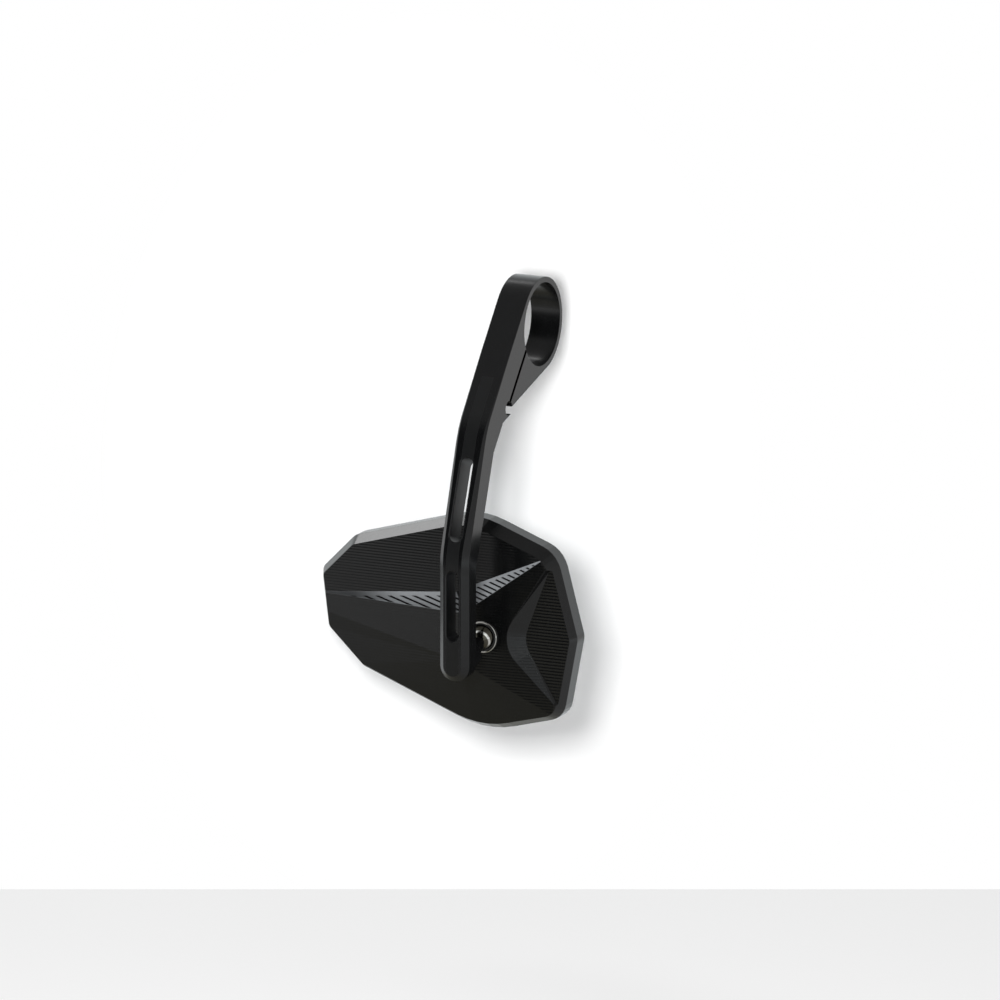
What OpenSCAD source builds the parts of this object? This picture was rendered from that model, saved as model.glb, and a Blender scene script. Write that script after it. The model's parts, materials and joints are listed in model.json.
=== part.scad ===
// Motorcycle bar end mirror: one milled arm with a split clamp ring, a ball
// joint with its friction pieces, and a faceted milled head that holds the glass.
// X runs along the handlebar, Y points in the direction of travel and Z points up.
// The origin is the middle of the clamp ring, on its bore's axis.

/* [Clamp ring] */
// Bore that grips the bar end
clamp_bore_d = 36; // [30:0.5:40]
// Wall of the ring
clamp_wall = 2.4; // [1.8:0.1:4]
// Width of the arm and its ring along the bar
arm_w = 13.5; // [12:0.1:16]
// Width of the slit that lets the ring close
slit_w = 0.8; // [0.5:0.1:1.5]
// Depth of the slit under the arm's front face
slit_depth = 13.6; // [12:0.1:15]
// Slope of the clamp lug's lower face under the horizontal
lug_slope = 15.5; // [10:0.5:22]
// Length of that face from the ring to the lug's tip
lug_len = 38.3; // [36:0.1:40]
// Radius of the relief hole at the slit's mouth
relief_r = 3.2; // [2.6:0.1:3.4]

/* [Clamp screw] */
// Thread size of the clamp screw
screw_d = 5; // [4:0.5:6]
// Length of the screw under its head
screw_len = 12; // [10:0.5:14]
// Diameter of the screw's head
screw_head_d = 8.5; // [7:0.1:9]
// Height of the screw's head
screw_head_h = 3.5; // [2.5:0.1:4]
// Size of the hexagon socket
screw_hex = 4; // [3:0.5:4]
// Depth of the hexagon socket
screw_hex_depth = 2.1; // [1.5:0.1:2.4]
// Distance of the screw along the slit, from the bore's wall
screw_along = 15; // [13:0.5:17]
// Material under the screw's head, down to the slit
screw_seat_t = 3.4; // [2.5:0.1:4.5]

/* [Arm] */
// Lean of the upper stretch from the vertical
upper_lean = 40.7; // [38:0.1:43]
// Length of the upper stretch from the ring to the first bend
upper_len = 62.3; // [58:0.1:66]
// Lean of the middle stretch from the vertical
middle_lean = 20.8; // [17:0.2:24]
// Length of the middle stretch between the bends
middle_len = 56.2; // [52:0.1:60]
// Length of the vertical stretch from the second bend to the arm's end
lower_len = 54.2; // [52:0.1:58]
// Depth of the upper stretch
upper_t = 13.3; // [12:0.1:14.5]
// Depth of the middle stretch
middle_t = 11.1; // [10:0.1:12]
// Depth of the lower stretch
lower_t = 9.6; // [8.5:0.1:11]
// Radius of the first bend at the front
bend1_r = 40; // [20:1:60]
// Radius of the second bend at the front
bend2_r = 25; // [15:1:40]
// Width of the front chamfer at the arm's end
edge_c = 2.6; // [2:0.1:3]
// Depth under the ring's axis at which the front chamfer begins
edge_top = 5; // [1:0.5:15]
// Depth under the second bend at which it has its full width
edge_full = 7.5; // [7:0.5:30]

/* [Arm slots] */
// Width of the slot in the middle stretch
slot1_w = 5.6; // [4:0.1:6]
// Length of that slot
slot1_len = 36.3; // [30:0.1:38]
// Distance of its upper end from the first bend
slot1_start = 13; // [10:0.1:14]
// Width of the slot in the lower stretch
slot2_w = 5.6; // [4:0.1:6]
// Length of that slot
slot2_len = 30.3; // [26:0.1:32]
// Distance of its upper end from the second bend
slot2_start = 6.1; // [5:0.1:7]
// Chamfer round the front edge of both slots
slot_edge = 0.5; // [0.3:0.1:0.8]

/* [Ball stud] */
// Diameter of the ball
ball_d = 11.4; // [11:0.1:11.6]
// Distance of the ball's centre behind the arm's front face
ball_back = 32; // [31:0.1:33]
// Height of the ball's centre over the arm's lower end
ball_up = 13.2; // [12.8:0.1:14]
// Slope of the stud down into the foot
stud_slope = 16; // [14:0.5:18]
// Diameter of the neck
neck_d = 4.8; // [4.4:0.1:5]
// Distance from the ball's centre to the stud's round shoulder
shoulder_at = 7.9; // [7.5:0.1:9]
// Diameter of that shoulder
shoulder_d = 6.9; // [6:0.1:7.2]
// Distance from the ball's centre to the foot's face
stud_reach = 14.9; // [14:0.1:15.5]
// Thickness of the hexagon collar that seats on the foot
collar_t = 2; // [1.5:0.1:2.4]
// Size of the collar across its flats
collar_af = 8; // [7:0.1:9]
// Thread size of the stud
stud_thread_d = 6; // [5:0.5:6]
// Length of the thread
stud_thread_len = 9; // [7:0.5:10]
// Radius of the round foot that takes the stud
foot_r = 5.9; // [5.4:0.1:6]

/* [Joint] */
// Wall of the plastic sleeve on the ball
sleeve_t = 0.96; // [0.8:0.02:1.1]
// How far the sleeve wraps in front of the ball's centre
sleeve_front = 1.6; // [1.4:0.05:1.7]
// How far the sleeve wraps behind the ball's centre
sleeve_back = 4; // [3:0.1:4.5]
// Width of the relief slits in the sleeve
sleeve_slit = 0.8; // [0.5:0.1:1.2]
// Outer radius of the seats
seat_r = 8.4; // [8.2:0.05:8.8]
// Radius of the bright lip that shows round the ball
lip_r = 6.9; // [6.85:0.05:7.3]
// How far the lip stands in front of the ball's centre
lip_front = 2.5; // [2.4:0.05:2.8]
// Length of the lip
lip_len = 2; // [1.9:0.05:2.2]
// How far the front seat reaches behind the ball's centre
seat_split = 1; // [0.6:0.1:1.2]
// Gap between the two seats, which lets the springs press them on
seat_gap = 0.3; // [0.2:0.05:0.5]
// Distance from the ball's centre to the back of the rear seat
seat_back = 7.4; // [7.2:0.05:7.5]
// Radius of the hole in the rear seat
seat_hole_r = 3; // [2:0.1:3.5]
// Thickness of the rubber ring that keeps dirt out of the joint
seal_d = 0.9; // [0.8:0.02:0.92]
// Thickness of the washer between the rear seat and the springs
washer_t = 0.5; // [0.4:0.05:0.55]
// Outer radius of the disc springs
spring_r = 8; // [7.5:0.05:8.2]
// Inner radius of the disc springs
spring_hole_r = 4.2; // [3.8:0.05:4.6]
// Thickness of one disc spring
spring_t = 0.45; // [0.35:0.05:0.5]
// Cone height of one disc spring
spring_cone = 0.2; // [0.15:0.01:0.3]
// Outer radius of the retainer plate
plate_r = 13.2; // [12.8:0.1:13.4]
// Thickness of the retainer plate
plate_t = 1.4; // [1.2:0.1:1.5]
// Radius of the retainer plate's middle hole
plate_hole_r = 3.5; // [2.5:0.1:3.8]
// Number of retainer screws
plate_screws_n = 3; // [3:1:4]
// Radius of the circle of retainer screws
plate_screw_ring = 11; // [10.8:0.05:11.2]
// Thread size of a retainer screw
plate_screw_d = 2; // [1.6:0.1:2.2]
// Length of a retainer screw
plate_screw_len = 6; // [5:0.5:7]
// Diameter of a retainer screw's sunk head
plate_head_d = 3.8; // [3.4:0.1:4.2]
// Size of its hexagon socket
plate_hex = 1.2; // [0.9:0.1:1.3]

/* [Head] */
// Width of the head along the bar
head_w = 119.9; // [110:0.1:130]
// Height of the head
head_h = 95.5; // [90:0.1:104]
// Thickness of the upright side wall from the glass side to the chamfer
wall_h = 7.1; // [6.5:0.1:8]
// Distance of the glass side behind the arm's front face
glass_back = 45.9; // [45:0.1:46.5]
// Rise of the chamfer band up to the plain upper facet
band_rise = 6.8; // [6:0.1:7.5]
// How far the chamfer band leans in over that rise
band_inset = 3.2; // [2.5:0.1:3.5]
// Height of the ridge over the plain upper facet
ridge_rise = 2.9; // [2:0.1:3.4]
// Depth of the hollow facet at the side under the plain upper facet
hollow_depth = 2.7; // [2:0.1:3]
// Wall round the glass
rim_wall = 1.6; // [1.2:0.1:2]
// Width of the ledge that the glass is bonded on
ledge_w = 4.4; // [3:0.1:6]
// Depth of the milled cavity behind the ledge
cavity_depth = 5.1; // [4:0.1:5.4]
// Radius of the boss round the joint
boss_r = 13.6; // [13.4:0.1:15]

/* [Feather ribs] */
// Distance between the oblique grooves
rib_pitch = 2; // [1.6:0.1:3]
// Width of one groove
rib_groove_w = 0.7; // [0.4:0.1:1]
// Depth of one groove
rib_groove_depth = 0.5; // [0.3:0.05:0.8]
// Slope of the grooves to the horizontal
rib_slope = 14.4; // [10:0.2:20]

/* [Glass] */
// Thickness of the mirror glass
glass_t = 2; // [1.8:0.1:2.2]
// Thickness of the bonding pad
pad_t = 0.8; // [0.6:0.1:1]
// How far the pad stays in from the edge of the glass
pad_margin = 0.5; // [0.3:0.1:2]
// How far the glass lies under the rim
glass_recess = 0.2; // [0.1:0.05:0.4]
// Gap between the glass and the wall round it
glass_gap = 0.25; // [0.15:0.05:0.4]

/* [Hidden] */
$fn = 64;

// Clearances: a running fit of round pieces, a free thread, and room for cutting through
fit = 0.04;
thread_gap = 0.05;
cut = 1;

black_anodised = [0.16, 0.16, 0.17];
steel = [0.72, 0.72, 0.7];
brass = [0.75, 0.6, 0.3];
plastic = [0.08, 0.08, 0.08];
mirror_tint = [0.75, 0.82, 0.86];

// Points of an arc that rounds the corner b between a and c
function unit(v) = v / norm(v);
function corner(a, b, c, r, n) =
    let (u = unit(a - b), v = unit(c - b), half = acos(u * v) / 2,
         mid = b + unit(u + v) * r / sin(half),
         side = u[0] * v[1] - u[1] * v[0] > 0 ? 1 : -1,
         start = atan2((b + u * r / tan(half) - mid)[1], (b + u * r / tan(half) - mid)[0]),
         sweep = side * (180 - 2 * half))
    [for (i = [0:n]) mid + r * [cos(start - sweep * i / n), sin(start - sweep * i / n)]];

// Arm: unit vectors along and out of the three straight stretches, in Y and Z
ring_r = clamp_bore_d / 2 + clamp_wall;
function along(lean) = [sin(lean), -cos(lean)];
function outward(lean) = [cos(lean), sin(lean)];
front_top = ring_r * outward(upper_lean);
bend1 = front_top + upper_len * along(upper_lean);
bend2 = bend1 + middle_len * along(middle_lean);
front_y = bend2[0];
arm_end = bend2 - [0, lower_len];
end_z = arm_end[1] + arm_w / 2;
lug_normal = [-sin(lug_slope), -cos(lug_slope)];
lug_along = [cos(lug_slope), -sin(lug_slope)];
lug_root = ring_r * lug_normal;
lug_tip = lug_root + lug_len * lug_along;
// The relief hole's centre lies a little past the lug's tip and above its lower face
relief_past = 2;
relief_above = 0.77;
relief = lug_tip + relief_past * lug_along - relief_above * lug_normal;
lug_nose = 0.5;
bend_steps = 8;

// Where two lines meet, each given by its unit normal and its distance from the origin
function meet(n1, d1, n2, d2) =
    [d1 * n2[1] - d2 * n1[1], d2 * n1[0] - d1 * n2[0]] / (n1[0] * n2[1] - n1[1] * n2[0]);
rear1_d = ring_r - upper_t;
rear2_d = outward(middle_lean) * bend1 - middle_t;
rear_bend1 = meet(outward(upper_lean), rear1_d, outward(middle_lean), rear2_d);
rear_bend2 = meet(outward(middle_lean), rear2_d, [1, 0], front_y - lower_t);
cusp_drop = 0.1;
cusp_d = relief * lug_normal + relief_r + cusp_drop;
heel = meet(outward(upper_lean), rear1_d, lug_normal, cusp_d);
heel_r = 3;
heel_steps = 4;
cusp = heel - norm(heel - relief) * lug_along;

// Slit line and clamp screw
slit_d = ring_r - slit_depth;
slit_start = sqrt(pow(clamp_bore_d / 2, 2) - pow(slit_d, 2));
screw_at = slit_d * outward(upper_lean) + (slit_start + screw_along) * along(upper_lean);
screw_room = 0.3;

// Stud and the arm's round foot that takes it
ball_y = front_y - ball_back;
ball_z = arm_end[1] + ball_up;
ball_at = [ball_y, ball_z];
stud_dir = [cos(stud_slope), -sin(stud_slope)];
foot_face = ball_at + stud_reach * stud_dir;
foot_len = 10.8;
foot_edge = 0.6;

// Joint
ball_r = ball_d / 2;
sleeve_in = ball_r + fit;
sleeve_out = ball_r + sleeve_t;
seat_in = sleeve_out + fit;
socket_r = seat_r + fit;
lip_hole_r = lip_r + fit;
spring_gap = 0.05;
washer_back = seat_back + spring_gap + washer_t;
plate_front = washer_back + 2 * (spring_gap + spring_t + spring_cone);
plate_head_h = (plate_head_d - plate_screw_d) / 2;

// The head's outline at its widest and the corners of its facets are drawn in X and Z
// from the ball's centre, then stretched to the head's width and height.
drawn = [[79.1, 20.8, 4], [63.5, 36.6, 8], [7.4, 52.2, 36], [-31, 37.6, 14], [-40.8, 1.1, 8],
         [-34.2, -33.8, 9], [1.8, -43.3, 42], [59.1, -20.9, 3], [76, -4.5, 6]];
function reach(i) = max([for (p = drawn) p[i]]) - min([for (p = drawn) p[i]]);
stretch = [head_w / reach(0), head_h / reach(1)];
function spread(p) = [p[0] * stretch[0], ball_z + p[1] * stretch[1]];
// Corners of the outline with their rounding radii
outline = [for (p = drawn) concat(spread(p), p[2])];
corner_steps = 5;
least_r = 1.2;
function at(list, i) = list[(i + len(list)) % len(list)];
function flat(p) = [p[0], p[1]];
// Unit normal of the side from corner i to the next, pointing in
function side_in(i) =
    let (d = unit(flat(at(outline, i + 1)) - flat(at(outline, i)))) [-d[1], d[0]];
// Corner i moved in by a distance
function inset_corner(i, d) =
    let (p = flat(at(outline, i)), n1 = side_in(i - 1), n2 = side_in(i))
    meet(n1, n1 * p + d, n2, n2 * p + d);
function head_outline(d) =
    [for (i = [0:len(outline) - 1])
        each corner(inset_corner(i - 1, d), inset_corner(i, d), inset_corner(i + 1, d),
                    max(at(outline, i)[2] - d, least_r), corner_steps)];

// Levels of the head along Y
glass_y = front_y - glass_back;
band_y = glass_y + wall_h;
facet_y = band_y + band_rise;
ridge_y = facet_y + ridge_rise;
hollow_y = facet_y - hollow_depth;
top_y = ridge_y + cut;
floor_y = glass_y + glass_recess + glass_t + pad_t;

// Facet corners of the back, in X, Z and height. The wing is the bright ledge that
// runs from both tips down to the ridge.
function raised(p, y) = concat(spread(p), y);
wing_left = raised([76, 11.75], facet_y);
wing_right = raised([-26.1, 35.2], facet_y);
wing_top = raised([13.8, 17.75], facet_y);
ridge_top = raised([8.7, 9.95], ridge_y);
ridge_fall = 0.2;
ridge_end = raised([10.1, -11.45], ridge_y - ridge_fall);
// Height over X and Z of the plane through three such points
function plane_y(a, b, c, p) =
    let (n = cross(b - a, c - a)) a[2] - (n[0] * (p[0] - a[0]) + n[1] * (p[1] - a[1])) / n[2];
function on_right(p) = [p[0], p[1], plane_y(ridge_top, wing_right, ridge_end, p)];
crease_left_at = spread([75, 3.75]);
crease_left = [crease_left_at[0], crease_left_at[1],
               plane_y(ridge_top, wing_left, ridge_end, crease_left_at)];
crease_right_at = spread([-31.2, -31.95]);
crease_right = on_right(crease_right_at);
// Crescent wall: its upper edge lies on the right facet, its lower edge on the hollow one
crescent_steps = 8;
// Each is a corner rounded by an arc: its top, its corner, its end and the radius.
out_corner = [for (p = [[-28.4, 31.15], [-7.2, -1.95], [-31.9, -27.05]]) spread(p)];
out_r = 13.9;
in_corner = [for (p = [[-28.9, 29.95], [-17.2, -0.95], [-32.2, -26.15]]) spread(p)];
in_r = 12;
function crescent(c, r) =
    concat([c[0]], corner(c[0], c[1], c[2], r, crescent_steps), [c[2]]);
crescent_out = [for (p = crescent(out_corner, out_r)) on_right(p)];
crescent_in = [for (p = crescent(in_corner, in_r)) [p[0], p[1], hollow_y]];
hollow_corner = raised([-39.2, 1.15], hollow_y);
// Points where the facets meet the chamfer band, in X and Z. Those of the lower edge
// have a third number, how far they lie under the plain upper facet.
top_edge = [for (p = [[75.6, 18.75], [62.2, 33.55], [7, 48.75]]) raised(p, facet_y)];
low_edge = [for (p = [[-15, -37.05, 1], [5, -39.65, 1], [32, -29.05, 1.4], [58.2, -18.25, 1.6],
                      [73.4, -3.45, 1.1]]) raised(p, facet_y - p[2])];
// Loop of the points round the edge, and the same loop moved outwards past the outline
edge_loop = concat([wing_left], top_edge, [wing_right, crescent_out[0], crescent_in[0],
    hollow_corner, crescent_in[crescent_steps + 2], crescent_out[crescent_steps + 2],
    crease_right], low_edge, [crease_left]);
// Shares of the way from the wing's corners to the ridge that stay plain
left_plain = 0.2;
top_plain = 0.16;
right_plain = 0.04;
ledge_past = 0.015;
loop_middle = spread([20, 1.35]);
skirt = 1.3;
outer_loop = [for (p = edge_loop)
    let (q = loop_middle + skirt * (flat(p) - loop_middle)) [q[0], q[1], p[2]]];

module along_x(w) {
    rotate([90, 0, 90]) linear_extrude(w, center = true) children();
}

module along_y(y0, y1) {
    translate([0, y1, 0]) rotate([90, 0, 0]) linear_extrude(y1 - y0) children();
}

// Puts a child that stands on Z onto a line in the Y and Z plane, turned to its direction
module on_line(p, dir) {
    translate([0, p[0], p[1]]) rotate([atan2(dir[1], dir[0]) - 90, 0, 0]) children();
}

// Puts a child at the ball's centre with its Z along the head's axis, pointing forward
module at_ball() {
    translate([0, ball_y, ball_z]) rotate([-90, 0, 0]) children();
}

function front_path() = concat([front_top],
    corner(front_top, bend1, bend2, bend1_r, bend_steps),
    corner(bend1, bend2, arm_end, bend2_r, bend_steps), [arm_end]);

module arm_profile() {
    difference() {
        union() {
            circle(ring_r);
            polygon(concat(front_path(),
                [[front_y - lower_t, arm_end[1]], rear_bend2, rear_bend1],
                corner(rear_bend1, heel, cusp, heel_r, heel_steps),
                [cusp, lug_tip + lug_nose * lug_along, lug_tip, lug_root, [0, 0]]));
        }
        circle(clamp_bore_d / 2);
        translate(relief) circle(relief_r);
        // slit, parallel to the front face
        translate(slit_d * outward(upper_lean)) rotate(upper_lean - 90)
            translate([slit_start - cut, -slit_w / 2])
                square([norm(relief - slit_d * outward(upper_lean)) - slit_start + cut, slit_w]);
    }
}

// Rounded lower end of the arm as seen from the front, with its chamfer
module end_shape() {
    translate([0, front_y, end_z]) rotate([90, 0, 0]) {
        cylinder(h = edge_c, r1 = arm_w / 2 - edge_c, r2 = arm_w / 2);
        translate([0, 0, edge_c]) cylinder(h = 4 * lower_t, r = arm_w / 2);
    }
    translate([-arm_w, -ring_r - cut, end_z])
        cube([2 * arm_w, front_y + ring_r + 2 * cut, ring_r - end_z + cut]);
}

// Width of the front chamfer at a height
edge_low = bend2[1] - edge_full;
function edge_at(z) = edge_c * max(0, min(1, (edge_top + z) / (edge_top + edge_low)));
// Path of the chamfer: the front face from where it begins to the rounded end
function path_normal(path, i) =
    let (a = path[max(i - 1, 0)], b = path[min(i + 1, len(path) - 1)], d = unit(b - a))
    [-d[1], d[0]];
edge_start = front_top + (edge_top + front_top[1]) / cos(upper_lean) * along(upper_lean);
edge_mid = [front_y, edge_low];
edge_path = concat([edge_start],
    corner(front_top, bend1, bend2, bend1_r, bend_steps),
    corner(bend1, bend2, arm_end, bend2_r, bend_steps), [edge_mid, [front_y, end_z]]);

// Three-sided cutter along the front edge on one side
module edge_cutter(side) {
    n = len(edge_path);
    pts = [for (i = [0:n - 1])
        let (p = edge_path[i], m = path_normal(edge_path, i), c = edge_at(p[1]),
             deep = p - (c + cut) * m, out = p + cut * m, x = arm_w / 2)
        each [[side * (x - c - cut), out[0], out[1]], [side * (x + cut), deep[0], deep[1]],
              [side * (x + cut), out[0], out[1]]]];
    turn = side > 0 ? [0, 2, 1] : [0, 1, 2];
    faces = concat([[turn[0], turn[1], turn[2]]],
        [for (i = [0:n - 2], k = [0:2])
            let (a = 3 * i + turn[k], b = 3 * i + turn[(k + 1) % 3]) [a, a + 3, b + 3, b]],
        [[for (k = [2:-1:0]) 3 * (n - 1) + turn[k]]]);
    polyhedron(pts, faces);
}

// Long hole with round ends, cut across the arm from its front face
module long_hole(start, lean, w, len, t) {
    translate([0, start[0], start[1]]) rotate([lean, 0, 0]) {
        translate([-w / 2, -t - cut, w / 2 - len]) cube([w, t + 2 * cut, len - w]);
        for (end = [-w / 2, w / 2 - len])
            translate([0, cut, end]) rotate([90, 0, 0]) cylinder(h = t + 2 * cut, d = w);
        // chamfer of its front edge
        rim = slot_edge + cut;
        translate([0, 0, w / 2 - len]) linear_extrude(len - w)
            polygon([[-w / 2, -slot_edge], [w / 2, -slot_edge], [w / 2 + rim, cut],
                     [-w / 2 - rim, cut]]);
        for (end = [-w / 2, w / 2 - len])
            translate([0, cut, end]) rotate([90, 0, 0])
                cylinder(h = rim, r1 = w / 2 + rim, r2 = w / 2);
    }
}

// Clearance, counterbore and thread for the clamp screw, square to the slit
module screw_holes() {
    on_line(screw_at, outward(upper_lean)) {
        cylinder(h = screw_len - screw_seat_t + cut, d = screw_d + 2 * thread_gap);
        translate([0, 0, -screw_seat_t - cut])
            cylinder(h = screw_seat_t + cut, d = screw_d + screw_room);
        translate([0, 0, -2 * ring_r - screw_seat_t])
            cylinder(h = 2 * ring_r, d = screw_head_d + screw_room);
    }
}

module clamp_arm() {
    color(black_anodised) difference() {
        union() {
            difference() {
                intersection() {
                    along_x(arm_w) arm_profile();
                    end_shape();
                }
                edge_cutter(1);
                edge_cutter(-1);
            }
            on_line(foot_face, stud_dir) {
                cylinder(h = foot_edge, r1 = foot_r - foot_edge, r2 = foot_r);
                translate([0, 0, foot_edge]) cylinder(h = foot_len - foot_edge, r = foot_r);
            }
        }
        long_hole(bend1 + slot1_start * along(middle_lean), middle_lean, slot1_w, slot1_len,
                  middle_t);
        long_hole(bend2 - [0, slot2_start], 0, slot2_w, slot2_len, lower_t);
        screw_holes();
        on_line(foot_face, stud_dir) translate([0, 0, -cut])
            cylinder(h = stud_thread_len + 2 * cut, d = stud_thread_d + 2 * thread_gap);
    }
}

module clamp_screw() {
    head_edge = 0.4;
    color(steel) on_line(screw_at - screw_seat_t * outward(upper_lean), outward(upper_lean)) {
        difference() {
            union() {
                cylinder(h = screw_len - head_edge, d = screw_d);
                translate([0, 0, screw_len - head_edge])
                    cylinder(h = head_edge, d1 = screw_d, d2 = screw_d - 2 * head_edge);
                translate([0, 0, -screw_head_h + head_edge])
                    cylinder(h = screw_head_h - head_edge, d = screw_head_d);
                translate([0, 0, -screw_head_h])
                    cylinder(h = head_edge, d1 = screw_head_d - 2 * head_edge, d2 = screw_head_d);
            }
            translate([0, 0, -screw_head_h - cut])
                cylinder(h = screw_hex_depth + cut, d = screw_hex / cos(30), $fn = 6);
        }
    }
}

module ball_stud() {
    color(steel) on_line(ball_at, stud_dir) {
        sphere(r = ball_r);
        cylinder(h = stud_reach - collar_t, d = neck_d);
        translate([0, 0, shoulder_at]) cylinder(h = stud_reach - shoulder_at, d = shoulder_d);
        translate([0, 0, stud_reach - collar_t])
            cylinder(h = collar_t, d = collar_af / cos(30), $fn = 6);
        translate([0, 0, stud_reach - collar_t]) cylinder(h = collar_t + stud_thread_len, d = stud_thread_d);
    }
}

// Plastic sleeve that takes the wear between ball and seats, slit so that it snaps on
module ball_sleeve() {
    color(plastic) at_ball() difference() {
        intersection() {
            sphere(r = sleeve_out);
            translate([0, 0, -sleeve_back])
                cylinder(h = sleeve_back + sleeve_front, r = 2 * sleeve_out);
        }
        sphere(r = sleeve_in);
        for (turn = [0, 90]) rotate(turn)
            translate([-sleeve_out - cut, -sleeve_slit / 2, -sleeve_out - cut])
                cube([2 * (sleeve_out + cut), sleeve_slit, sleeve_out]);
    }
}

// Bright steel seat whose lip shows round the ball
module front_seat() {
    lip_edge = 0.3;
    color(steel) at_ball() difference() {
        union() {
            translate([0, 0, -seat_split])
                cylinder(h = seat_split + lip_front - lip_len, r = seat_r);
            translate([0, 0, -seat_split])
                cylinder(h = seat_split + lip_front - lip_edge, r = lip_r);
            translate([0, 0, lip_front - lip_edge])
                cylinder(h = lip_edge, r1 = lip_r, r2 = lip_r - lip_edge);
        }
        sphere(r = seat_in);
    }
}

module rear_seat() {
    color(brass) at_ball() difference() {
        translate([0, 0, -seat_back])
            cylinder(h = seat_back - seat_split - seat_gap, r = seat_r);
        sphere(r = seat_in);
        translate([0, 0, -seat_back - cut]) cylinder(h = seat_back, r = seat_hole_r);
    }
}

// Rubber ring in front of the sleeve, between the ball and the front seat
module ball_seal() {
    seal_z = sleeve_front + fit + seal_d / 2;
    reach = seat_in - fit / 2 - seal_d / 2;
    color(plastic) at_ball() rotate_extrude()
        translate([sqrt(reach * reach - seal_z * seal_z), seal_z]) circle(d = seal_d);
}

module thrust_washer() {
    color(steel) at_ball() translate([0, 0, -washer_back]) difference() {
        cylinder(h = washer_t, r = spring_r);
        translate([0, 0, -cut]) cylinder(h = washer_t + 2 * cut, r = spring_hole_r);
    }
}

// One disc spring as a thin cone that stands on its inner rim
module disc_spring() {
    rotate_extrude() polygon([[spring_hole_r, 0], [spring_r, spring_cone],
                              [spring_r, spring_cone + spring_t], [spring_hole_r, spring_t]]);
}

// The two disc springs lie rim to rim and press the seats onto the sleeve
module front_spring() {
    color(steel) at_ball() translate([0, 0, -washer_back]) mirror([0, 0, 1]) disc_spring();
}

module rear_spring() {
    color(steel) at_ball() translate([0, 0, -plate_front]) disc_spring();
}

// Places of the retainer screws round the joint
module at_plate_screws() {
    for (i = [0:plate_screws_n - 1])
        rotate(90 + 360 * i / plate_screws_n) translate([plate_screw_ring, 0, 0]) children();
}

module retainer_plate() {
    color(steel) at_ball() translate([0, 0, -plate_front - plate_t]) difference() {
        cylinder(h = plate_t, r = plate_r);
        translate([0, 0, -cut]) cylinder(h = plate_t + 2 * cut, r = plate_hole_r);
        at_plate_screws() {
            translate([0, 0, -cut]) cylinder(h = plate_t + 2 * cut, d = plate_screw_d + 2 * thread_gap);
            cylinder(h = plate_head_h, d1 = plate_head_d, d2 = plate_screw_d);
        }
    }
}

module plate_screws() {
    color(steel) at_ball() translate([0, 0, -plate_front - plate_t]) at_plate_screws()
        difference() {
            union() {
                cylinder(h = plate_screw_len, d = plate_screw_d);
                cylinder(h = plate_head_h, d1 = plate_head_d, d2 = plate_screw_d);
            }
            translate([0, 0, -cut]) cylinder(h = plate_head_h + cut, d = plate_hex / cos(30), $fn = 6);
        }
}

// Milled block up to the highest level: an upright wall and a leaning chamfer band,
// through three outlines of as many points
module head_block() {
    top_inset = band_inset / band_rise * (top_y - band_y);
    rings = [[0, glass_y], [0, band_y], [top_inset, top_y]];
    n = len(head_outline(0));
    pts = [for (r = rings, p = head_outline(r[0])) [p[0], r[1], p[1]]];
    polyhedron(pts, concat(
        [[for (i = [n - 1:-1:0]) i]], [[for (i = [0:n - 1]) 2 * n + i]],
        [for (k = [0:1], i = [0:n - 1]) let (j = (i + 1) % n, low = k * n, up = low + n)
            [up + i, low + i, low + j, up + j]]));
}

// Faceted back over the whole outline, down to below the glass side. The edge loop
// runs clockwise seen from the back, from the wing's left tip over the top.
module facet_solid() {
    n = len(edge_loop);
    m = len(crescent_out);
    inner = 3 * n;
    // places of named points in the list
    right = 4;
    corner_at = 7;
    low = 10;
    last = n - 1;
    top = inner + 2 * (m - 2);
    ridge = top + 1;
    end = top + 2;
    function out_at(i) = i == 0 ? right + 1 : i == m - 1 ? low - 1 : inner + i - 1;
    function in_at(i) = i == 0 ? corner_at - 1 : i == m - 1 ? corner_at + 1
        : inner + m - 2 + i - 1;
    pts = concat(edge_loop, outer_loop, [for (p = outer_loop) [p[0], p[1], glass_y - cut]],
                 [for (i = [1:m - 2]) crescent_out[i]], [for (i = [1:m - 2]) crescent_in[i]],
                 [wing_top, ridge_top, ridge_end]);
    upper = [[0, 1, 2, 3, right, top]];
    wing = [[0, top, ridge], [top, right, ridge]];
    left = [[0, ridge, end, last]];
    lower = [for (i = [low:last - 1]) [end, i, i + 1]];
    side = [concat([ridge, right], [for (i = [0:m - 1]) out_at(i)], [low, end])];
    crescent = [for (i = [0:m - 2]) each [[out_at(i), in_at(i), out_at(i + 1)],
                                          [out_at(i + 1), in_at(i), in_at(i + 1)]]];
    hollow = [concat([in_at(0), corner_at], [for (i = [m - 1:-1:1]) in_at(i)])];
    walls = [for (i = [0:n - 1]) let (j = (i + 1) % n)
        each [[i, i + n, j + n, j], [i + n, i + 2 * n, j + 2 * n, j + n]]];
    base = [[for (i = [n - 1:-1:0]) 2 * n + i]];
    polyhedron([for (p = pts) [p[0], p[2], p[1]]],
               concat(upper, wing, left, lower, side, crescent, hollow, walls, base));
}

// Layer under one ledge of the wing, as deep as the grooves in it. It runs a little past
// the ridge's edge, so that the grooves cut through the edge.
module ledge_layer(top, p, q) {
    pts = [top, for (r = [p, q]) r + ledge_past * (r - top)];
    low = [for (p = pts) [p[0], p[2] - rib_groove_depth, p[1]]];
    high = [for (p = low) p + [0, 2 * rib_groove_depth + cut, 0]];
    polyhedron(concat(low, high),
               [[0, 2, 1], [3, 4, 5], [0, 1, 4, 3], [1, 2, 5, 4], [2, 0, 3, 5]]);
}

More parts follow.
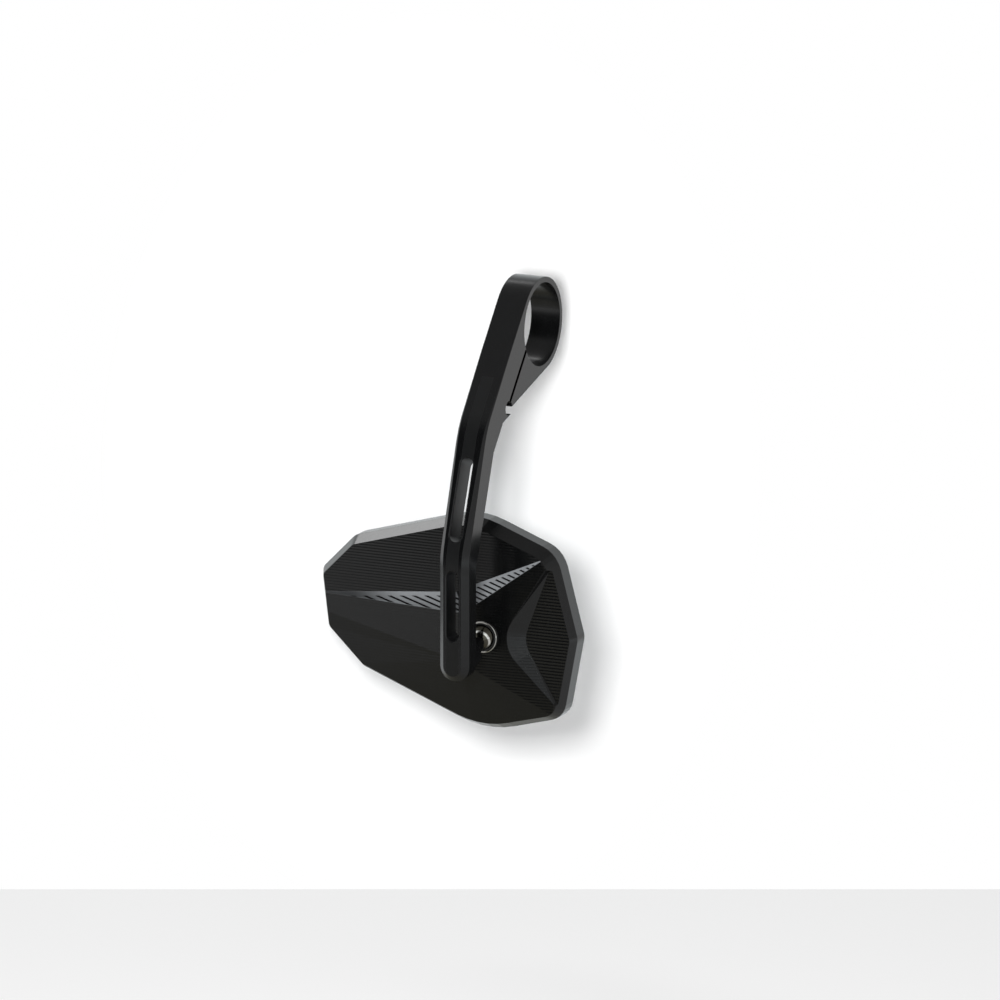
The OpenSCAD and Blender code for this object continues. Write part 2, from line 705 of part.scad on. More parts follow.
// Oblique grooves that part the wing into feathers
module feather_grooves() {
    reach = 90;
    count = floor(2 * reach * sin(rib_slope) / rib_pitch);
    // where the grooved field begins, from each of the wing's corners to the ridge
    left = wing_left + left_plain * (ridge_top - wing_left);
    top = wing_top + top_plain * (ridge_top - wing_top);
    right = wing_right + right_plain * (ridge_top - wing_right);
    intersection() {
        union() {
            ledge_layer(top, ridge_top, left);
            ledge_layer(top, right, ridge_top);
        }
        for (i = [-count:count])
            translate([ridge_top[0], facet_y - cut, ridge_top[1]])
                rotate([0, -rib_slope, 0]) translate([-reach, 0, i * rib_pitch])
                    cube([2 * reach, 2 * cut + 2 * ridge_rise, rib_groove_w]);
    }
}

module mirror_housing() {
    color(black_anodised) difference() {
        intersection() {
            head_block();
            facet_solid();
        }
        feather_grooves();
        along_y(glass_y - cut, floor_y) polygon(head_outline(rim_wall));
        // milled cavity, with the boss left standing
        difference() {
            along_y(floor_y - cut, floor_y + cavity_depth)
                polygon(head_outline(rim_wall + ledge_w));
            at_ball() translate([0, 0, -plate_front])
                cylinder(h = plate_front, r = boss_r);
        }
        // socket with its shoulder, the lip's hole and the screw threads
        at_ball() {
            translate([0, 0, -plate_front - cut])
                cylinder(h = plate_front + cut + lip_front - lip_len + fit, r = socket_r);
            cylinder(h = ball_d, r = lip_r + fit);
            translate([0, 0, -plate_front - plate_t]) at_plate_screws()
                cylinder(h = plate_screw_len + cut, d = plate_screw_d + 2 * thread_gap);
        }
    }
}

module glass_pad() {
    pad_inset = rim_wall + glass_gap + pad_margin;
    color(plastic) along_y(floor_y - pad_t, floor_y) polygon(head_outline(pad_inset));
}

module mirror_glass() {
    front = glass_y + glass_recess;
    color(mirror_tint) along_y(front, front + glass_t)
        polygon(head_outline(rim_wall + glass_gap));
}

clamp_arm();
clamp_screw();
ball_stud();
ball_sleeve();
ball_seal();
front_seat();
rear_seat();
thrust_washer();
front_spring();
rear_spring();
retainer_plate();
plate_screws();
mirror_housing();
glass_pad();
mirror_glass();
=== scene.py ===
# %% [markdown]
# # A bar end mirror, seen from behind
# The mirror is milled from black anodised aluminium: a slotted arm with a split clamp ring,
# a chromed ball joint and a faceted head that holds the glass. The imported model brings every
# piece at its real size and place. This file adds finishes, the knurl of the clamp screw, a
# studio and a camera. All lengths are in metres.

# %% Load the frame
import json
import math

import bpy
from mathutils import Matrix, Vector


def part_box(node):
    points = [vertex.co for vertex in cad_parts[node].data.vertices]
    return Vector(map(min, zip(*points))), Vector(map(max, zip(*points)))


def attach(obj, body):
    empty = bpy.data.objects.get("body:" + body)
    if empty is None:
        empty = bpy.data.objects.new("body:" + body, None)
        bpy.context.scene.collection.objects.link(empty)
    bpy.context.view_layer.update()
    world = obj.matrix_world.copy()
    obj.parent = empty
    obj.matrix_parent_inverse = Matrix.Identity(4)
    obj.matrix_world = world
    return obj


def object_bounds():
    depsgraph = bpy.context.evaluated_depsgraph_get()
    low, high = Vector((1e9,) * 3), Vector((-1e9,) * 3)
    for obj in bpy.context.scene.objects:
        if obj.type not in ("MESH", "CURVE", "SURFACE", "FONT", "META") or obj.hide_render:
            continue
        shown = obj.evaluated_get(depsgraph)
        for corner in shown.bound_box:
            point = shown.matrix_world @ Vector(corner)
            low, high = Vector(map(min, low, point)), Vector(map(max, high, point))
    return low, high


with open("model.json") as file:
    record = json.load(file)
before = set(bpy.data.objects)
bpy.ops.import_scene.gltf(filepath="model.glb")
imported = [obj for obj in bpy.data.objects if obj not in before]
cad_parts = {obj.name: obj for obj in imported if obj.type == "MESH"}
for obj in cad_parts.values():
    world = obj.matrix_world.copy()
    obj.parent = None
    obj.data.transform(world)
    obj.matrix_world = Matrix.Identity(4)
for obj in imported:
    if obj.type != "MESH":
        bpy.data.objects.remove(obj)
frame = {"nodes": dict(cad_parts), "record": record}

MM = 0.001
cad_low, cad_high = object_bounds()
print("CAD box in mm:", [round(v / MM, 1) for v in (*cad_low, *cad_high)])

# %% [markdown]
# ## The camera first
# The photograph is taken with a long lens from behind and a little above, so lines that run
# away from the viewer hardly meet. A camera eight metres away with a very long focal length
# gives the same flat look. Its aim and field come from the size that the arm and the head
# have in the picture.

# %% Camera
VIEW_AZIMUTH = math.radians(205)
VIEW_ELEVATION = math.radians(13.3)
VIEW_DISTANCE = 8.0
VIEW_CLIP = 0.1, 50
VIEW_AIM = Vector((3.4, 20.7, -73.4)) * MM
FIELD_WIDTH = 425.5 * MM
SENSOR_WIDTH = 36.0

level_towards_camera = Vector((math.sin(VIEW_AZIMUTH), -math.cos(VIEW_AZIMUTH), 0))
picture_right = Vector((math.cos(VIEW_AZIMUTH), math.sin(VIEW_AZIMUTH), 0))
towards_camera = (level_towards_camera * math.cos(VIEW_ELEVATION)
                  + Vector((0, 0, math.sin(VIEW_ELEVATION))))


def add_camera():
    lens = bpy.data.cameras.new("photo_camera")
    lens.sensor_width = SENSOR_WIDTH
    lens.lens = SENSOR_WIDTH * VIEW_DISTANCE / FIELD_WIDTH
    lens.clip_start, lens.clip_end = VIEW_CLIP
    camera = bpy.data.objects.new("photo_camera", lens)
    bpy.context.collection.objects.link(camera)
    camera.location = VIEW_AIM + towards_camera * VIEW_DISTANCE
    camera.rotation_euler = towards_camera.to_track_quat("Z", "Y").to_euler()
    bpy.context.scene.camera = camera
    print("lens in mm:", round(lens.lens, 1))


add_camera()

# %% [markdown]
# ## Shader maths that reads like maths
# A procedural finish is a formula over the surface: lines, grain and masks. Building it node
# by node hides the formula, so a small class wraps a socket and overloads the operators. An
# expression such as `1 - mask * 0.4` then adds its own Math nodes. Every other node comes
# from one method, which takes the node's type, its settings and its sockets. The studio's
# world is a tree of the same kind, so it shares the class.


# %% Sockets with operators
class Value:
    """One output socket of a shader tree that takes part in Python arithmetic."""

    def __init__(self, tree, socket):
        self.tree, self.socket = tree, socket

    def maths(self, operation, *others):
        return self.tree.node("ShaderNodeMath", [self, *others], operation=operation)

    def __add__(self, other):
        return self.maths("ADD", other)

    def __mul__(self, other):
        return self.maths("MULTIPLY", other)

    def __sub__(self, other):
        return self.maths("SUBTRACT", other)

    def __truediv__(self, other):
        return self.maths("DIVIDE", other)

    def __rsub__(self, other):
        return self.tree.node("ShaderNodeMath", [other, self], operation="SUBTRACT")

    def __gt__(self, other):
        return self.maths("GREATER_THAN", other)

    def __lt__(self, other):
        return self.maths("LESS_THAN", other)

    __radd__ = __add__
    __rmul__ = __mul__

    def sine(self):
        return self.maths("SINE")

    def size(self):
        return self.maths("ABSOLUTE")

    def larger(self, other):
        return self.maths("MAXIMUM", other)

    def ramp(self, low, high):
        """Rises smoothly from 0 at low to 1 at high."""
        ends = {"Value": self, "From Min": min(low, high), "From Max": max(low, high)}
        rise = self.tree.node("ShaderNodeMapRange", ends, interpolation_type="SMOOTHSTEP")
        return rise if low < high else 1 - rise


# %% Trees of nodes
class Tree:
    """A shader tree and the methods that build it."""

    def __init__(self, owner):
        owner.use_nodes = True
        self.nodes, self.links = owner.node_tree.nodes, owner.node_tree.links
        self.splitters = {}

    def wire(self, target, value):
        """Links a Value to a socket, or sets the socket to a number, vector or colour."""
        if isinstance(value, Value):
            self.links.new(value.socket, target)
        elif target.type == "RGBA":
            target.default_value = (*value, 1)
        else:
            target.default_value = value

    def node(self, kind, sockets=(), output=0, **settings):
        """Makes a node, wires its sockets by name or in order, and returns one output."""
        made = self.nodes.new(kind)
        for name, value in settings.items():
            setattr(made, name, value)
        pairs = sockets.items() if isinstance(sockets, dict) else enumerate(sockets)
        for name, value in pairs:
            self.wire(made.inputs[name], value)
        return Value(self, made.outputs[output]) if made.outputs else None

    def place(self):
        """Object coordinates in metres, as one vector."""
        return self.node("ShaderNodeTexCoord", output="Object")

    def split(self, vector):
        """The three parts of a vector, from one node however often they are asked for."""
        key = vector.socket
        if key not in self.splitters:
            self.splitters[key] = self.node("ShaderNodeSeparateXYZ", [vector]).socket.node
        return [Value(self, out) for out in self.splitters[key].outputs]

    def noise(self, vector, scale, detail, roughness, stretch=(1, 1, 1)):
        placed = self.node("ShaderNodeMapping", {"Vector": vector, "Scale": stretch})
        return self.node("ShaderNodeTexNoise", {"Vector": placed, "Scale": scale, "Detail": detail,
                                                "Roughness": roughness})

    def dot(self, vector, direction):
        return self.node("ShaderNodeVectorMath", [vector, tuple(direction)], output="Value",
                         operation="DOT_PRODUCT")

    def mix(self, amount, first, second):
        """Mixes two colours by an amount."""
        return self.node("ShaderNodeMix", {0: amount, 6: first, 7: second}, output=2,
                         data_type="RGBA")

    def light_path(self, ray):
        return self.node("ShaderNodeLightPath", output=ray)

    def blend_shaders(self, amount, first, second):
        return self.node("ShaderNodeMixShader", {0: amount, 1: first, 2: second})


class Finish(Tree):
    """One material with a Principled BSDF."""

    def __init__(self, name, colour, roughness, metallic=0.0):
        self.material = bpy.data.materials.new(name)
        super().__init__(self.material)
        self.shader = self.nodes["Principled BSDF"]
        self.put("Base Color", colour)
        self.put("Roughness", roughness)
        self.put("Metallic", metallic)

    def put(self, name, value):
        """Gives a socket of the main shader a number, a colour or a link."""
        self.wire(self.shader.inputs[name], value)

    def bump(self, height, depth, strength, normal=None):
        """Shades the surface as if height 1 stood out by depth metres."""
        sockets = {"Height": height, "Distance": depth, "Strength": strength}
        if normal is not None:
            sockets["Normal"] = normal
        self.put("Normal", self.node("ShaderNodeBump", sockets))

    def rounded_edge(self, radius):
        return self.node("ShaderNodeBevel", {"Radius": radius}, samples=6)


# %% [markdown]
# ## Black anodised aluminium of the arm
# Anodising leaves a thin dyed oxide on the metal. It looks black and satin, with a little
# lighter grain where the tool marks catch light. The colour stays dark and only the roughness
# and a fine bump vary, because on such a finish form is read from reflections alone. A bevel
# that exists only in the shading rounds the edges, so that they catch light as real ones do.
# The slit of the clamp ring reads as a black line, because its broken edges lie in shade. That
# shade is painted: a mask over the distance to the slit's plane mixes in a finish that returns
# no light on a band either side of it.

# %% Arm finish
ARM_BLACK = (0.0018, 0.0019, 0.002)
ARM_GRAIN = (0.0034, 0.0036, 0.004)
EDGE_RADIUS = 0.35 * MM
UPPER_LEAN = math.radians(40.7)
# the slit: its two directions, its distance from the bore's axis, the half width of the
# painted shade on either side of its plane, and where it starts and ends
SLIT_ACROSS = Vector((0, math.cos(UPPER_LEAN), math.sin(UPPER_LEAN)))
SLIT_DOWN = Vector((0, math.sin(UPPER_LEAN), -math.cos(UPPER_LEAN)))
SLIT_LEVEL, SLIT_SHADE = 6.85 * MM, 0.95 * MM
SLIT_START, SLIT_END = 16.6 * MM, 41.4 * MM
# colour of the painted shade over the band round the slit
SLIT_PAINTED_SHADE = (0.0004, 0.0004, 0.0004)
# the stretch that holds the slots, which is rougher: half its width, and where it starts
SLOT_HALF, SLOT_FROM = 2.9 * MM, 40 * MM


def arm_finish():
    finish = Finish("black_anodised_arm", ARM_BLACK, 0.2)
    place = finish.place()
    cloud = finish.noise(place, 260, 3, 0.6)
    drawn = finish.noise(place, 1500, 2, 0.5, (1, 0.06, 0.06))
    x, y, _ = finish.split(place)
    across = (finish.dot(place, SLIT_ACROSS) - SLIT_LEVEL).size()
    down = finish.dot(place, SLIT_DOWN)
    # painted shade: a band either side of the slit's plane that gets a finish returning no light
    painted_slit_shade = (across < SLIT_SHADE) * (down > SLIT_START) * (down < SLIT_END)
    in_slot = (x.size() < SLOT_HALF) * (y > SLOT_FROM)
    finish.put("Base Color", finish.mix(cloud, ARM_BLACK, ARM_GRAIN))
    finish.put("Roughness", 0.18 + 0.07 * cloud + in_slot * 0.25)
    finish.bump(drawn, 0.01 * MM, 0.1, finish.rounded_edge(EDGE_RADIUS))
    lit = Value(finish, finish.shader.outputs[0])
    unlit = finish.node("ShaderNodeBsdfPrincipled", {"Base Color": SLIT_PAINTED_SHADE, "Roughness": 1.0,
                                                     "Specular IOR Level": 0.0})
    finish.wire(finish.nodes["Material Output"].inputs[0], finish.blend_shaders(painted_slit_shade, lit, unlit))
    return finish.material


# %% [markdown]
# ## Black anodised aluminium of the head
# The facets are milled with a round cutter that leaves fine parallel lines. They run along
# the head, lie close together on the big facets, and are coarse on the hollow facet at the
# side. The lines are a bump whose pitch is the cutter's step, and on the hollow facet their
# crests are also painted paler, a painted sheen. Masks over place and over the way that the
# surface faces pick where each kind is, so that the chamfers and sides have none. The feathers
# of the wing are cut once more after the dye, so they are paler. Their mask is the distance to
# the two planes that they lie in, which leaves the floors of the grooves between them dark.
# Near the creases it also takes in thin strips of the neighbouring facets, a painted highlight.

# %% Places on the head
_, head_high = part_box("mirror_housing")
ball_centre = Vector(frame["record"]["behaviour"]["joints"][0]["pos_m"])
RIDGE_RISE, HOLLOW_DEPTH = 2.9 * MM, 2.7 * MM
FACET_Y = head_high.y - RIDGE_RISE
HOLLOW_Y = FACET_Y - HOLLOW_DEPTH


def on_head(x, z, y=FACET_Y):
    """A point of the head from its millimetres beside and over the ball."""
    return Vector((ball_centre.x + x * MM, y, ball_centre.z + z * MM))


wing_left, wing_right = on_head(76, 11.75), on_head(-26.1, 35.2)
wing_top, ridge_top = on_head(13.8, 17.75), on_head(8.7, 9.95, head_high.y)

# %% Head finish
HEAD_BLACK = (0.0011, 0.0012, 0.0012)
HEAD_GRAIN = (0.0032, 0.0034, 0.0036)
# pale colour of the feathers cut after the dye; the mask also lays it on thin strips along the
# creases as a painted highlight
FEATHER_AND_EDGE_HIGHLIGHT = (0.21, 0.22, 0.23)
# paler colour on the crests of the hollow facet's coarse lines, a painted sheen
GROOVE_CREST_SHEEN = (0.005, 0.0053, 0.0056)
FINE_STEP, FINE_HEIGHT, FINE_FACING = 1.25 * MM, 0.48, 0.9
COARSE_STEP, COARSE_HEIGHT, COARSE_FACING = 1.37 * MM, 3.2, 0.97
LINE_DEPTH = 0.09 * MM
SAME_LEVEL, ON_LEDGE, PAST_LINE = 0.15 * MM, 0.12 * MM, 0.25 * MM
# where the left ledge takes over from the right one, and where its tip gets darker
SEAM_FADE = wing_top.x - 6 * MM, wing_top.x - 4 * MM
TIP_FADE, TIP_LEAST = (64 * MM, 36 * MM), 0.2
RIDGE_FADE, RIDGE_LEAST = (ridge_top.z, ridge_top.z + 6 * MM), 0.62


def near_plane(finish, place, corners, within):
    """1 on the plane through three corners, fading to 0 at a distance."""
    a, b, c = corners
    normal = (b - a).cross(c - a).normalized()
    distance = (finish.dot(place, normal) - normal.dot(a)).size()
    return distance.ramp(within, within * 0.4)


def under_line(finish, place, a, b):
    """1 below the line through two points, as the camera sees it from straight ahead."""
    along = (b - a).normalized()
    over = Vector((-along.z, 0, along.x))
    over = over if over.z > 0 else -over
    return (finish.dot(place, over) - over.dot(a)) < PAST_LINE


def feather_and_edge_highlight_mask(finish, place):
    """1 on the two ledges of the wing, less towards the ridge and the left tip, and on thin strips
    along the creases, a painted highlight.
    """
    x, _, z = finish.split(place)
    left_ledge = near_plane(finish, place, (wing_left, wing_top, ridge_top), ON_LEDGE)
    right_ledge = near_plane(finish, place, (wing_top, wing_right, ridge_top), ON_LEDGE)
    left_side = x.ramp(*SEAM_FADE)
    tip = x.ramp(*TIP_FADE) * (1 - TIP_LEAST) + TIP_LEAST
    left_end = tip * under_line(finish, place, wing_left, wing_top)
    right_end = under_line(finish, place, wing_top, wing_right)
    ledges = (left_ledge * left_side * left_end).larger(
        right_ledge * (1 - left_side) * right_end)
    over_ridge = z > ridge_top.z - 1 * MM
    return ledges * over_ridge * (RIDGE_LEAST + (1 - RIDGE_LEAST) * z.ramp(*RIDGE_FADE))


def milled_lines(z, step):
    """Rises and falls between 0 and 1 once for each step of the cutter."""
    return (z * (2 * math.pi / step)).sine() * 0.5 + 0.5


def head_finish():
    finish = Finish("black_anodised_head", HEAD_BLACK, 0.2)
    place = finish.place()
    _, y, z = finish.split(place)
    fine, coarse = milled_lines(z, FINE_STEP), milled_lines(z, COARSE_STEP)
    facing = finish.split(finish.node("ShaderNodeTexCoord", output="Normal"))[1]
    hollow = ((y - HOLLOW_Y).size() < SAME_LEVEL) * (facing > COARSE_FACING)
    cloud = finish.noise(place, 180, 3, 0.6)
    streak = finish.noise(place, 900, 2, 0.5, (0.02, 1, 1))
    colour = finish.mix(streak, HEAD_BLACK, HEAD_GRAIN)
    # painted sheen: the crests of the coarse lines on the hollow facet are made paler
    colour = finish.mix(hollow * coarse.ramp(0.55, 1.0), colour, GROOVE_CREST_SHEEN)
    # pale feathers, with a painted highlight on thin strips along the creases
    finish.put("Base Color", finish.mix(feather_and_edge_highlight_mask(finish, place), colour, FEATHER_AND_EDGE_HIGHLIGHT))
    finish.put("Roughness", 0.17 + 0.06 * cloud)
    height = fine * (facing > FINE_FACING) * FINE_HEIGHT + hollow * coarse * COARSE_HEIGHT
    finish.bump(height, LINE_DEPTH, 0.6, finish.rounded_edge(EDGE_RADIUS))
    return finish.material


# %% [markdown]
# ## Metals, plastic, rubber and glass of the small parts
# Each gets a short finish of its own, with the marks that its making leaves: turning rings
# about the joint's axis, a faint haze on chrome, grain on plastic. The ball's stud is turned
# from one piece and only the ball itself is polished, so a mask over the distance from the
# ball's centre leaves the neck and the hexagon collar as dark steel. The chrome ball is painted
# dark, a painted dark reflection, with a painted highlight in a band round its neck. A table
# then names the finish for each material slot of the record, and every node gets its own.

# %% Small part finishes
BALL_RADIUS = 5.7 * MM
STUD_SLOPE = math.radians(16)
STUD_AXIS = Vector((0, math.cos(STUD_SLOPE), -math.sin(STUD_SLOPE)))
# chrome of the ball: a painted dark reflection, and the painted highlight of its band
CHROME_PAINTED_DARK, CHROME_PAINTED_HIGHLIGHT = (0.1, 0.093, 0.075), (0.82, 0.81, 0.77)
SHANK_STEEL = (0.05, 0.05, 0.052)
# the painted highlight band, in radii of the ball towards its neck
HIGHLIGHT_RISE, HIGHLIGHT_FALL = (0.58, 0.63), (0.76, 0.71)


def turned_metal(name, colour, roughness, step):
    finish = Finish(name, colour, roughness, 1.0)
    place = finish.place()
    streak = finish.noise(place, 700, 2, 0.5, (1, 0.1, 1))
    finish.put("Roughness", roughness + 0.12 * streak)
    rings = finish.noise(place, 1 / step, 1, 0.4, (0.05, 1, 0.05))
    finish.bump(rings, 0.01 * MM, 0.4)
    return finish.material


def polished_metal(name, colour):
    finish = Finish(name, colour, 0.06, 1.0)
    haze = finish.noise(finish.place(), 900, 3, 0.6)
    finish.put("Roughness", 0.05 + 0.08 * haze)
    return finish.material


def stud_finish():
    """Dark shank, and a ball painted dark with a painted highlight in a band round its neck."""
    finish = Finish("ball_chrome", CHROME_PAINTED_DARK, 0.06, 1.0)
    place = finish.place()
    away = finish.node("ShaderNodeVectorMath", [place, tuple(ball_centre)], output="Value",
                       operation="DISTANCE")
    shank = away.ramp(BALL_RADIUS + 0.1 * MM, BALL_RADIUS + 0.3 * MM)
    towards_neck = (finish.dot(place, STUD_AXIS) - STUD_AXIS.dot(ball_centre)) / BALL_RADIUS
    # painted highlight: a pale band round the neck of a ball painted dark
    highlight_band = towards_neck.ramp(*HIGHLIGHT_RISE) * towards_neck.ramp(*HIGHLIGHT_FALL)
    ball = finish.mix(highlight_band, CHROME_PAINTED_DARK, CHROME_PAINTED_HIGHLIGHT)
    finish.put("Base Color", finish.mix(shank, ball, SHANK_STEEL))
    haze = finish.noise(place, 900, 3, 0.6)
    finish.put("Roughness", 0.06 + 0.08 * haze + shank * 0.25)
    return finish.material


def soft_black(name, colour, roughness, grain_scale):
    finish = Finish(name, colour, roughness)
    grain = finish.noise(finish.place(), grain_scale, 3, 0.6)
    finish.put("Roughness", roughness - 0.1 + 0.2 * grain)
    finish.bump(grain, 0.03 * MM, 0.4)
    return finish.material


def glass_finish():
    finish = Finish("mirror_glass", (0.78, 0.83, 0.86), 0.01, 1.0)
    haze = finish.noise(finish.place(), 40, 2, 0.5)
    finish.put("Roughness", 0.005 + 0.015 * haze)
    return finish.material


# %% Finishes of the nodes
FINISHES = {
    "black_anodised_arm": arm_finish(),
    "black_anodised_head": head_finish(),
    "screw_steel": turned_metal("screw_steel", (0.09, 0.09, 0.095), 0.3, 0.3 * MM),
    "ball_chrome": stud_finish(),
    "seat_chrome": polished_metal("seat_chrome", (0.55, 0.54, 0.51)),
    "seat_brass": turned_metal("seat_brass", (0.75, 0.55, 0.25), 0.25, 0.2 * MM),
    "sleeve_plastic": soft_black("sleeve_plastic", (0.012, 0.012, 0.012), 0.45, 1500),
    "seal_rubber": soft_black("seal_rubber", (0.01, 0.01, 0.01), 0.6, 2500),
    "spring_steel": turned_metal("spring_steel", (0.4, 0.4, 0.42), 0.28, 0.2 * MM),
    "plate_steel": turned_metal("plate_steel", (0.5, 0.5, 0.5), 0.3, 0.3 * MM),
    "pad_foam": soft_black("pad_foam", (0.02, 0.02, 0.02), 0.8, 1200),
    "mirror_glass": glass_finish(),
}


def dress_nodes():
    for part in frame["record"]["subparts"]:
        node = frame["nodes"][part["node"]]
        for slot in node.material_slots:
            slot.material = FINISHES[part["material_slot"]]


dress_nodes()

# %% [markdown]
# ## Knurl of the clamp screw
# Fine ridges run round the head of a socket screw, so that fingers can start it. They are one
# ridge that Geometry Nodes repeats round a circle: the count, the circle's radius and the
# ridge's size and length are inputs of the group. The result is kept as a plain mesh, turned
# to the screw's axis, which is square to the slit of the clamp.

# %% Ridges round a circle
SCREW_HEAD_RADIUS, SCREW_HEAD_HEIGHT = 4.25 * MM, 3.5 * MM
RIDGE_SINK = 0.03 * MM
KNURL_RAISED = 0.2 * MM
RIDGES = {"Count": 48, "Radius": SCREW_HEAD_RADIUS - RIDGE_SINK, "Ridge Size": 0.1 * MM,
          "Ridge Length": 2.3 * MM}


def ridge_group():
    """A node group that sets ridges, with one edge outwards, evenly round a circle."""
    group = bpy.data.node_groups.new("ridges_round", "GeometryNodeTree")
    group.interface.new_socket("Geometry", in_out="OUTPUT", socket_type="NodeSocketGeometry")
    for name, value in RIDGES.items():
        kind = "NodeSocketInt" if isinstance(value, int) else "NodeSocketFloat"
        group.interface.new_socket(name, in_out="INPUT", socket_type=kind)
    group.interface.new_socket("Material", in_out="INPUT", socket_type="NodeSocketMaterial")

    def add(kind, links, **settings):
        made = group.nodes.new(kind)
        for name, value in settings.items():
            setattr(made, name, value)
        for socket, source in links.items():
            if isinstance(source, (int, float)):
                made.inputs[socket].default_value = source
            else:
                group.links.new(source, made.inputs[socket])
        return made.outputs

    given = add("NodeGroupInput", {})
    circle = add("GeometryNodeMeshCircle", {"Vertices": given["Count"], "Radius": given["Radius"]})
    ridge = add("GeometryNodeMeshCylinder", {"Vertices": 4, "Radius": given["Ridge Size"],
                                             "Depth": given["Ridge Length"]})
    step = add("ShaderNodeMath", {0: 2 * math.pi, 1: given["Count"]}, operation="DIVIDE")
    angle = add("ShaderNodeMath", {0: add("GeometryNodeInputIndex", {})[0], 1: step[0]},
                operation="MULTIPLY")
    turn = add("ShaderNodeCombineXYZ", {2: angle[0]})
    round_circle = add("GeometryNodeInstanceOnPoints", {"Points": circle[0], "Instance": ridge[0],
                                                        "Rotation": turn[0]})
    real = add("GeometryNodeRealizeInstances", {0: round_circle[0]})
    finished = add("GeometryNodeSetMaterial", {"Geometry": real[0], "Material": given["Material"]})
    add("NodeGroupOutput", {0: finished[0]})
    return group


def screw_head_middle():
    """The middle of the knurl, from the lowest point and the sides of the clamp screw."""
    screw = [v.co for v in frame["nodes"]["clamp_screw"].data.vertices]
    down = [SLIT_DOWN.dot(v) for v in screw]
    lowest = min(SLIT_ACROSS.dot(v) for v in screw)
    return (SLIT_DOWN * (min(down) + max(down)) / 2
            + SLIT_ACROSS * (lowest + SCREW_HEAD_HEIGHT / 2 + KNURL_RAISED))


def add_knurl():
    knurl = bpy.data.objects.new("screw_knurl", bpy.data.meshes.new("screw_knurl"))
    bpy.context.collection.objects.link(knurl)
    modifier = knurl.modifiers.new("ridges", "NODES")
    modifier.node_group = ridge_group()
    wanted = dict(RIDGES, Material=FINISHES["screw_steel"])
    for item in modifier.node_group.interface.items_tree:
        if item.in_out == "INPUT":
            modifier[item.identifier] = wanted[item.name]
    graph = bpy.context.evaluated_depsgraph_get()
    mesh = bpy.data.meshes.new_from_object(knurl.evaluated_get(graph), depsgraph=graph)
    knurl.modifiers.clear()
    knurl.data = mesh
    mesh.transform(Matrix.Translation(screw_head_middle())
                   @ SLIT_ACROSS.to_track_quat("Z", "Y").to_matrix().to_4x4())
    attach(knurl, "arm")
    print("knurl faces:", len(mesh.polygons))


add_knurl()

# %% [markdown]
# ## Studio levels
# Black metal is lit by what it mirrors. The studio round the mirror is white, with a black
# flag in front, a dimmer side and a dim ceiling, which keep the big faces dark while the edges
# and the sides catch the white. In reflections the floor shows a painted reflection, light that
# it gives off to mirrored rays only: a black cloth in front whose ends are open, with a warm
# grey patch nearer to the mirror. In reflections the world is one formula over the ray's
# direction, and the floor is another over the place on it.

# %% Levels round the mirror
FLOOR_Z = cad_low.z - 90 * MM
# painted cloth that the floor shows in reflections: the point its two ends are seen from, and how
# far to each side they open
CLOTH_FROM = 0.3
OPEN_RIGHT, OPEN_LEFT = (0.5, 0.86), (-0.25, -0.75)
# painted patch that the floor shows in reflections: its middle, the fade at its sides and its far
# end, and the two fades behind it
PATCH_MIDDLE, PATCH_SIDES, PATCH_END = 0.07, (0.04, 0.2), (0.46, 0.36)
BEHIND, FAR_BEHIND = (0.02, -0.16), (-0.3, -0.55)


def turned(azimuth, elevation):
    """Direction from the mirror, azimuth counted from straight ahead towards +X."""
    a, e = math.radians(azimuth), math.radians(elevation)
    return Vector((math.sin(a) * math.cos(e), math.cos(a) * math.cos(e), math.sin(e)))


FRONT_FLAG, SIDE_FLAG = turned(16, 22), turned(-86, 8)
WHITE, COOL_WHITE, PATCH_REFLECTION_GREY = (0.93, 0.97, 0.98), (0.92, 0.98, 1.0), (0.32, 0.31, 0.25)
CEILING, FLAG, CLOTH_REFLECTION = 0.26, 0.02, 0.015
DIM_SIDE, PATCH_RIM, DIM_BEHIND = 0.5, 0.5, 0.76
FRONT_FADE, SIDE_FADE, CEILING_FADE = (0.78, 0.93), (0.72, 0.92), (0.3, 0.86)


def grey(level):
    return (level, level, level)


def sky_colour(tree, direction):
    """Level above the horizon: a flag in front, a dimmer side and a dim ceiling."""
    front = tree.dot(direction, FRONT_FLAG).ramp(*FRONT_FADE)
    side = tree.dot(direction, SIDE_FLAG).ramp(*SIDE_FADE)
    ceiling = tree.split(direction)[2].ramp(*CEILING_FADE)
    colour = tree.mix(side, WHITE, grey(DIM_SIDE))
    colour = tree.mix(ceiling, colour, grey(CEILING))
    return tree.mix(front, colour, grey(FLAG))


def painted_floor_reflection(tree, place):
    """Light the floor gives off to mirrored rays, a painted reflection: black cloth ahead, a warm
    grey patch near the mirror.
    """
    x, y, _ = tree.split(place)
    away = tree.node("ShaderNodeVectorMath", [place, (0, CLOTH_FROM, FLOOR_Z)],
                     operation="SUBTRACT")
    side = tree.split(tree.node("ShaderNodeVectorMath", [away], operation="NORMALIZE"))[0]
    colour = tree.mix(side.ramp(*OPEN_RIGHT), grey(CLOTH_REFLECTION), grey(1))
    colour = tree.mix(side.ramp(*OPEN_LEFT), colour, COOL_WHITE)
    near = tree.mix((x - PATCH_MIDDLE).size().ramp(*PATCH_SIDES), PATCH_REFLECTION_GREY, grey(PATCH_RIM))
    colour = tree.mix(y.ramp(*PATCH_END), colour, near)
    behind = tree.mix(y.ramp(*FAR_BEHIND), WHITE, grey(DIM_BEHIND))
    return tree.mix(y.ramp(*BEHIND), colour, behind)


